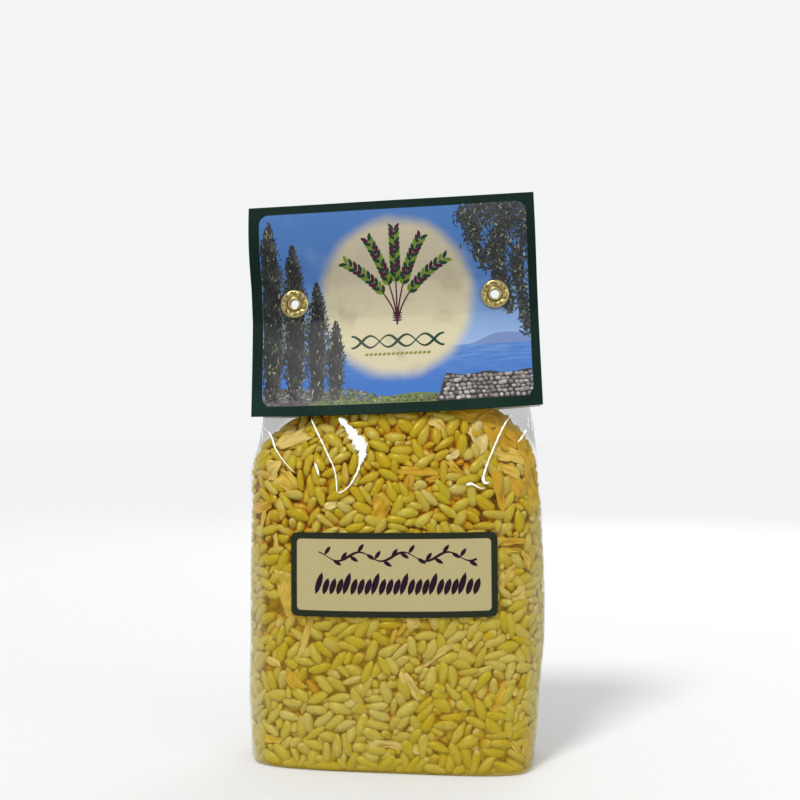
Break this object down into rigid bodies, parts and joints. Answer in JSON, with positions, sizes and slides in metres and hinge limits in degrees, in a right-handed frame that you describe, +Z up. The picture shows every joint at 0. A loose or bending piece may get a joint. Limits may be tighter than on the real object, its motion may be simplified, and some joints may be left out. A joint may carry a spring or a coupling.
{
  "type": "sealed clear bag of dry saffron risotto mix",
  "caption": "Clear film bag filled with dry yellow rice mix, standing on a flat base, closed by a folded card header held with brass eyelets, with a label on the front.",
  "frame": {"origin": "on the floor under the middle of the whole pack's box", "axes": "+Z up the pack, the front with its label faces -Y, +X to the right of the front"},
  "size_m": [0.1065, 0.0442, 0.2013],
  "materials": {
    "clear_film": "thin glossy clear film with creases",
    "yellow_rice": "dry rice grains coloured by saffron, satin, uneven in colour",
    "dried_onion": "thin dried onion flakes, orange to pinkish beige",
    "printed_card": "printed card with a satin coating, dark green border and blue picture field",
    "printed_label": "cream paper label with a dark green border, satin",
    "brass": "bright pressed brass"
  },
  "bodies": {
    "root": {"bag": "clear_film", "header_card": "printed_card", "eyelet_left": "brass", "eyelet_right": "brass", "label": "printed_label"}
  },
  "joints": []
}
